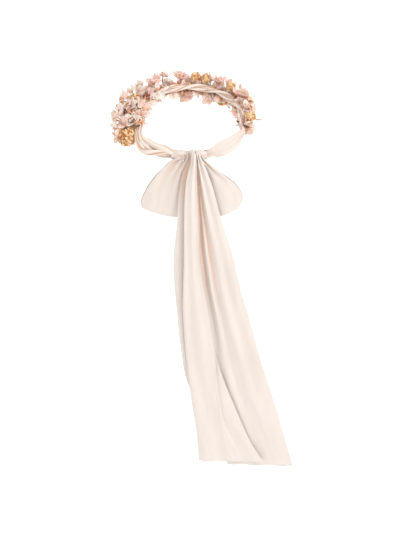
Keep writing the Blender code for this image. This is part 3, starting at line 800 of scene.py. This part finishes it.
# The tails. Lines run down each tail as (depth below the hinge, distance to the wearer's right), in
# millimetres, and a tail's cross-section is a smooth line through shares of its width and of its depth.
REAR_LEFT = (
    (-18, 1), (3, -1), (9, -5), (20, -8), (32, -12), (58, -16), (82, -19), (137, -22), (220, -29),
    (347, -23), (435, -16), (500, -7), (600, 26), (725, 73),
)
REAR_RIGHT = (
    (-18, 16), (45, 37), (122, 55), (220, 80), (288, 93), (347, 108), (443, 130), (518, 150),
    (600, 171), (725, 201),
)
FRONT_LEFT = (
    (-18, 4), (8, 2), (20, -2), (57, -7), (122, -9.5), (220, -10.5), (312, -13), (371, -11), (443, -7),
    (549, 2), (626, 11), (708, 16),
)
FRONT_RIGHT = (
    (-18, 12), (42, 13), (122, 15), (200, 17), (258, 23), (335, 35), (406, 49), (480, 65), (557, 87),
    (647, 115), (708, 143),
)


def make_tail(name, body, left, right, length, plane, shares, depths, flat):
    """shares and depths each hold three cross-sections: at the knot, at 0.2 m down and at the hem."""
    over, bend = 18 * MM, 6.5 * MM  # the length above the hinge, and its bend over the knot

    def section(cuts, across, down):
        line = [
            mix(mix(knot, middle, ease(down, 0.02, 0.28)), hem, ease(down, 0.42, 1.0))
            for knot, middle, hem in zip(*cuts)
        ]
        return through(line, across)

    def place(across, up):
        down = 1 - up
        fall = down * (length + over) - over
        left_x, right_x = smooth_line(left, fall / MM) * MM, smooth_line(right, fall / MM) * MM
        depth = section(depths, across, down)
        x = mix(left_x, right_x, section(shares, across, down))
        y = plane - depth * MM
        z = HINGE.z - fall - 6 * MM * (across - 0.5) * down
        turn_over = max(0.0, -fall - 6 * MM) / bend
        crest = HINGE.z + (4 + 4 * sin(pi * across) + 1.5 * sin(9 * across)) * MM
        z = min(z, crest) + bend * sin(turn_over)
        y += bend * (1 - cos(turn_over))
        y += crinkle(Vector((x, 0, z)), 1.0 * MM * (1 - 0.5 * down), 15 * MM, plane * 900)
        # Painted shade in the recessed folds of the upper tail, with none above the hinge.
        painted_shade = max(0.0, 1.2 - depth) / 2.4 * (1 - ease(down, 0.2, 0.55)) * ease(fall, -9 * MM, 4 * MM)
        return Vector((x, y, z)), 0.7 * min(1.0, painted_shade)

    piece = make_ribbon(name, (84, 150), flat, place, "hung", body=None, rests_on=["bow_knot"])
    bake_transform(piece, "crown", body, start=(0, HINGE.y, HINGE.z + 6 * MM), end=(0, HINGE.y, HINGE.z - 40 * MM))


def even(count):
    """Even shares from 0 to 1."""
    return tuple(i / (count - 1) for i in range(count))


def make_tails():
    make_tail(
        "look_ribbon_tail_rear", "rear_tail", REAR_LEFT, REAR_RIGHT, REAR_TAIL_LENGTH,
        plane=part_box("ribbon_tail_rear")[1].y - 1 * MM,
        shares=(
            (0.0, 0.07, 0.25, 0.40, 0.54, 0.58, 0.60, 0.62, 0.64, 0.69, 0.77, 0.88, 1.0),
            (0.0, 0.05, 0.14, 0.30, 0.43, 0.49, 0.56, 0.61, 0.65, 0.72, 0.81, 0.91, 1.0),
            even(13),
        ),
        depths=(
            (-0.8, -1.4, -1.6, -0.5, -1.5, -1.5, -1.5, -1.4, 0.5, 4.6, 1.2, 4.0, 2.0),
            (2.5, 3.6, 2.8, 0.6, 0.2, -1.8, 2.0, -1.6, 0.6, 4.2, 1.4, 2.6, 1.2),
            (1.5, 3.0, 1.4, 1.0, 2.2, 3.4, 2.2, 0.9, 1.4, 2.8, 3.5, 1.8, 1.4),
        ),
        flat=(RIBBON_WIDTH, 0.745),
    )
    make_tail(
        "look_ribbon_tail_front", "front_tail", FRONT_LEFT, FRONT_RIGHT, FRONT_TAIL_LENGTH,
        plane=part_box("ribbon_tail_front")[1].y - 1 * MM,
        shares=(
            (0.0, 0.08, 0.30, 0.55, 0.80, 1.0, 0.80, 0.30, 0.08, 0.40, 0.85),
            (0.0, 0.06, 0.28, 0.56, 0.82, 1.0, 0.75, 0.20, 0.05, 0.40, 0.85),
            even(11),
        ),
        depths=(
            (1.0, 4.6, 3.0, 6.4, 4.6, 5.0, 2.0, 1.0, 0.4, -0.2, 0.4),
            (1.0, 4.8, 3.4, 5.6, 4.0, 4.8, 2.0, 0.8, 0.0, -0.3, 0.0),
            (1.5, 3.6, 2.2, 1.0, 2.0, 3.2, 2.4, 1.0, 2.0, 3.4, 1.8),
        ),
        flat=(RIBBON_WIDTH, 0.730),
    )


LOOP_FLAT = (RIBBON_WIDTH, 0.26)
# Each loop's front layer lies between an outer and an inner edge, from the knot's top to the far fold, as
# (share of the way, distance out from the middle, height above the hoop) in millimetres.
LOOP_EDGES = {
    "bow_loop_left": (
        ((0, 17, 3), (0.15, 34, -8), (0.35, 54, -35), (0.6, 74, -68), (0.85, 85, -98), (1, 83, -110)),
        ((0, -1, 8), (0.15, 2, -12), (0.35, 9, -40), (0.6, 13, -80), (0.85, 15, -116), (1, 22, -131)),
    ),
    "bow_loop_right": (
        ((0, 23, 3), (0.15, 38, -15), (0.35, 60, -40), (0.6, 81, -61), (0.85, 94, -90), (1, 84, -114)),
        ((0, 9, 7), (0.15, 10, -12), (0.35, 12, -40), (0.6, 14, -80), (0.85, 20, -114), (1, 38, -132)),
    ),
}


def make_loop(name, body, side):
    """A bow loop: a broad strip that leaves the top of the knot, rolls over at its far end and comes back
    behind. Its long edges are tucked in, and it is pleated near the knot."""
    low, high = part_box(name)
    middle_y = (low.y + high.y) / 2
    root = Vector((side * 7 * MM, middle_y, -12.5 * MM))  # on the loop's hinge
    steps = 40
    edges = [
        [smooth_line([(stop[0], stop[axis]) for stop in edge], i / steps) * MM for i in range(steps + 1)]
        for edge in LOOP_EDGES[name]
        for axis in (1, 2)
    ]

    def edge_point(first, share):
        step = min(steps - 1, int(share * steps))
        return [mix(line[step], line[step + 1], share * steps - step) for line in edges[first : first + 2]]

    def place(across, way):
        front = way < 0.5
        out = 1 - abs(2 * way - 1)
        share = sin(out * pi / 2) ** 0.9
        turned, tuck = abs(across - 0.5) * 2, 0.26
        face = min(1.0, turned / (1 - tuck))
        back = max(0.0, (turned - (1 - tuck)) / tuck)
        sideways = 0.5 + (0.5 if across > 0.5 else -0.5) * (face - 0.75 * back)
        inner, outer = edge_point(2, share), edge_point(0, share)
        x, z = (mix(inner[axis], outer[axis], sideways) for axis in (0, 1))
        if not front:  # the back layer starts under the knot instead
            low_root = 1 - ease(share, 0.0, 0.4)
            x, z = mix(x, root.x * side + (sideways - 0.5) * 9 * MM, low_root), mix(z, root.z, low_root)
        near = 1 - ease(share, 0.0, 0.8)
        wave = 2 * pi * (2.6 * sideways + 0.16 * sin(5 * sideways + side)) + 0.9
        gather = (1 - ease(share, 0.0, 0.42)) * cos(2.7 * wave)
        pleats = (near * 2.4 * cos(wave) + 1.7 * gather) * MM
        gap = mix(1.5, 4.6, ease(share, 0.1, 0.6)) * MM * (0.3 + 0.7 * sin(pi * sideways) ** 0.7)
        swell = 2.2 * MM * sin(pi * sideways) * ease(share, 0.2, 0.8)
        depth = (gap + swell - 1.0 * MM * back) * (-1 if front else 1)
        if out > 0.88:
            depth *= max(0.0, 1 - ((out - 0.88) / 0.12) ** 2) ** 0.5
        y = middle_y + depth + (pleats if front else 0.5 * pleats)
        if front:
            y -= 9.5 * MM * (1 - ease(share, 0.0, 0.45))
        point = Vector((side * x, y, z))
        point.y += crinkle(point, 1.3 * MM, 20 * MM, side * 3.0)
        # Painted shade in the pleat valleys near the knot, in the gathers and on the tucked back layer; the left
        # loop also gets a painted shadow line along its far fold.
        painted_shade = 0.5 * near * max(0.0, cos(wave)) + 0.25 * max(0.0, gather) + 0.08 * back
        return point, min(1.0, painted_shade + (0.8 * ease(out, 0.84, 0.94) if side < 0 else 0.0))

    piece = make_ribbon(
        f"look_{name}", (96, 96), LOOP_FLAT, place, "gathered", body=None, rests_on=["bow_knot"]
    )
    away = Vector((side * 0.42, 0, -0.91))
    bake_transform(piece, "crown", body, start=root - away * 4 * MM, end=root + away * 28 * MM)


def make_binding(name, angle, inward):
    """The gathered ribbon over one eyelet of the hoop: it widens from the band into the knot."""
    middle = beside_hoop(angle, EYELET_CLOCK, EYELET_REACH)
    _, outward, tangent = hoop_axes(angle)
    half_length = 11.5 * MM

    def place(across, way):
        turn = 2 * pi * 1.06 * way
        side = 2 * across - 1
        pleat = cos(5 * turn + 1.4 * side) + 0.5 * cos(8 * turn - 1.1 * side)
        reach = mix(6.3, 9.2, ease(side * inward, -1.0, 0.3)) * MM * (1 + 0.065 * pleat) + 0.4 * MM * way
        around = outward * cos(turn) + Vector((0, 0, sin(turn)))
        # Painted shade in the valleys of the pleats.
        return middle + tangent * side * half_length + around * reach, 0.45 * max(0.0, -pleat) / 1.5

    make_ribbon(name, (24, 96), (0.025, 0.060), place, "gathered", rests_on=["hoop_wire"])


def make_wrap():
    """The upper fold of the band between the garland and the knot: a ribbon laid over the taped hoop."""
    first, last = 205.0, 257.0

    def place(across, along):
        angle = mix(first, last, along)
        open_share = ease(angle, first, 222) * (1 - ease(angle, 243, last))
        roll = mix(205, 12, across)
        pleat = cos(radians(roll) * 3.3 + 4.4 * along + 0.4)
        reach = mix(6.4, 8.4, open_share) * (1 + 0.14 * pleat) + 1.2 * sin(7 * along + 3 * across)
        lean = mix(EYELET_REACH - 1.5 * MM, 1.5 * MM, open_share)
        point = beside_hoop(angle, EYELET_CLOCK, lean) + clock_direction(angle, roll) * reach * MM
        # Painted shade in the pleat valleys and along one long edge.
        return point, 0.5 * max(0.0, -pleat) + 0.35 * ease(across, 0.86, 1.0)

    make_ribbon(
        "band_wrap_left", (48, 80), (0.029, 0.100), place, "gathered", BAND_RIBBON, rests_on=["floral_tape"]
    )


def make_knot():
    """The ribbon bunched over the core of the bow, between the two eyelets."""
    low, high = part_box("bow_knot")
    middle, half = (low + high) / 2, (high - low) / 2

    def place(across, way):
        turn = 2 * pi * way * 1.04
        side = 2 * across - 1
        girth = 0.62 + 0.38 * (1 - abs(side) ** 2.4)
        ridge = cos(pi * 9 * across + 1.5 * sin(turn))
        fold = girth * (1 + 0.10 * ridge)
        point = Vector((side * half.x, -half.y * fold * cos(turn), half.z * fold * sin(turn)))
        # Painted shade between the ridges of the bunched folds.
        return middle + point * 0.97, 0.5 * (0.5 - 0.5 * ridge)

    make_ribbon("look_bow_knot", (54, 48), (0.036, 0.052), place, "folded")


# The band. Its path repeats the CAD's: two strands wound round each other inside and above the hoop, which
# cross over it behind the left ear and end in the left eyelet. Angles are in degrees.
BAND_START, BAND_END, GARLAND_END, SPAN_END = -13.2, 261.9, 213.1, -81.9
STRAND_CLOCK, SEAT = 135, 0.8 * MM
STRAND_TURNS = 4.0


def band_radius(angle):
    swell = ease(angle, GARLAND_END - 2, GARLAND_END + 18)
    pinch = ease(angle, GARLAND_END + 18, 255)
    return mix(mix(3.4, 5.6, swell), 2.7, pinch) * MM


def band_centre(angle):
    crossing = ease(angle, GARLAND_END - 18, GARLAND_END + 14)
    clock = mix(STRAND_CLOCK, EYELET_CLOCK, crossing)
    distance = max(TAPE_RADIUS + SEAT + 2 * band_radius(angle), EYELET_REACH)
    distance = mix(distance, EYELET_REACH, ease(angle, 252, 258))
    return beside_hoop(angle, clock, distance), clock


def make_strand(name, phase):
    """One strand: a narrow ribbon rolled up on itself, with folds that run along it."""

    def place(across, along):
        angle = mix(BAND_START, BAND_END, along)
        centre, clock = band_centre(angle)
        onward = (band_centre(angle + 1)[0] - centre).normalized()
        turn = phase + radians(clock) + 2 * pi * STRAND_TURNS * along
        radius = band_radius(angle)
        side = clock_direction(angle, degrees(turn))
        side = (side - onward * side.dot(onward)).normalized()
        rise = onward.cross(side)
        roll = 2 * pi * 1.45 * across
        groove = (0.5 + 0.5 * cos(2.6 * roll + 0.6)) ** 3
        reach = 0.99 * radius * mix(0.62, 1.0, ease(across, 0.0, 0.55)) * (1 - 0.2 * groove)
        point = centre + side * radius + (side * cos(roll) + rise * sin(roll)) * reach
        # The grooves also take painted shade.
        return point, 0.9 * groove

    flat = (STRAND_RIBBON_WIDTH, 0.475)
    make_ribbon(name, (44, 260), flat, place, "gathered", BAND_RIBBON, rests_on=["floral_tape"])


def make_span():
    """The open stretch right of the nape: a pleated ribbon that gathers at both ends."""
    first, last = BAND_START - 0.6, SPAN_END

    def place(across, along):
        angle = mix(first, last, along)
        crossing = 1 - ease(angle, first - 18, first - 1)
        opening = (1 - ease(angle, first - 24, first - 6)) * ease(angle, last + 2, last + 24)
        depth = mix(3.4, 3.0, opening) * MM
        rise = mix(13, 35, opening) / 2 * MM
        clock = STRAND_CLOCK + (EYELET_CLOCK * (1 - opening) - STRAND_CLOCK) * crossing
        distance = TAPE_RADIUS + SEAT + hypot(depth * cos(radians(clock)), rise * sin(radians(clock)))
        distance = mix(distance, EYELET_REACH, 1 - ease(angle, last + 3, last + 9))
        point, outward, _ = hoop_axes(angle)
        centre = beside_hoop(angle, clock, distance)
        wave = 2 * pi * 2.3 * across**1.25 + 2.2 * sin(1.3 * pi * along) + 0.9
        lift = rise * (1 - 2 * across) * 0.84 + (1.6 + 3.2 * opening) * MM * sin(wave) * 0.6
        out = depth * 0.8 * cos(wave) * (0.6 + 0.4 * sin(3 * across + 5 * along))
        # Painted shade in the pleat valleys, weaker where the span opens out.
        painted_shade = 0.5 * max(0.0, -cos(wave)) * (1.0 - 0.7 * opening)
        return centre + outward * out + Vector((0, 0, lift)), painted_shade

    flat = (SPAN_RIBBON_WIDTH, 0.145)
    make_ribbon("look_ribbon_span_right", (60, 90), flat, place, "stretched", rests_on=["floral_tape"])


# ---- Putting it together -------------------------------------


def finish_cad_nodes():
    """The hoop, its tape and the ties keep their shapes and get their finishes."""
    for name, node in frame["nodes"].items():
        if name == "floral_tape" or name == "hoop_wire" or name.startswith("tie_wire"):
            node.data.materials.clear()
            node.data.materials.append(TAPE if name == "floral_tape" else WIRE)


def add_studio():
    """A plain pale floor under the crown and soft light from all round."""
    bpy.ops.mesh.primitive_plane_add(size=14, location=(0, 2, -1.0))
    floor = bpy.context.object
    floor.name = "studio_floor"
    pale = {"Base_Color": (0.9, 0.9, 0.9, 1), "Emission_Color": (1, 1, 1, 1), "Emission_Strength": 0.42}
    floor.data.materials.append(new_material("white_floor", 0.9, **pale)[0])

    world = bpy.data.worlds.new("studio")
    bpy.context.scene.world = world
    world.use_nodes = True
    sky = world.node_tree.nodes["Background"].inputs
    sky["Color"].default_value = (1, 0.965, 0.93, 1)
    sky["Strength"].default_value = 0.72
    lamps = (  # name, place, size and power
        ("key", (1.9, -1.2, 2.0), 1.3, 50),
        ("fill", (-2.2, -1.6, 1.4), 2.0, 16),
        ("back", (0.3, 1.8, 2.0), 1.4, 12),
    )
    target = Vector((0, 0, -0.2))
    for name, spot, size, power in lamps:
        light = bpy.data.lights.new(name, "AREA")
        light.size, light.energy = size, power
        lamp = bpy.data.objects.new(name, light)
        lamp.location = spot
        lamp.rotation_euler = (target - lamp.location).to_track_quat("-Z", "Y").to_euler()
        bpy.context.scene.collection.objects.link(lamp)
    bpy.context.scene.view_settings.view_transform = "Standard"


def add_camera():
    data = bpy.data.cameras.new("camera")
    data.lens, data.clip_end = 115.3, 50
    camera = bpy.data.objects.new("camera", data)
    camera.location = (0, -2.5160, 1.6339)
    camera.rotation_euler = (radians(52.08), 0, radians(-0.44))
    bpy.context.scene.collection.objects.link(camera)
    bpy.context.scene.camera = camera


def build():
    add_camera()
    add_studio()
    finish_cad_nodes()
    for node in sorted(frame["nodes"]):
        if any(node.startswith(kind) for kind in KINDS):
            make_flower(node)
    make_filler()
    make_tails()
    make_loop("bow_loop_left", "left_loop", -1)
    make_loop("bow_loop_right", "right_loop", 1)
    make_knot()
    make_binding("eyelet_binding_left", 260, 1)
    make_binding("eyelet_binding_right", 280.3, -1)
    make_wrap()
    make_strand("look_ribbon_strand_upper", 0.0)
    make_strand("look_ribbon_strand_lower", pi)
    make_span()


build()
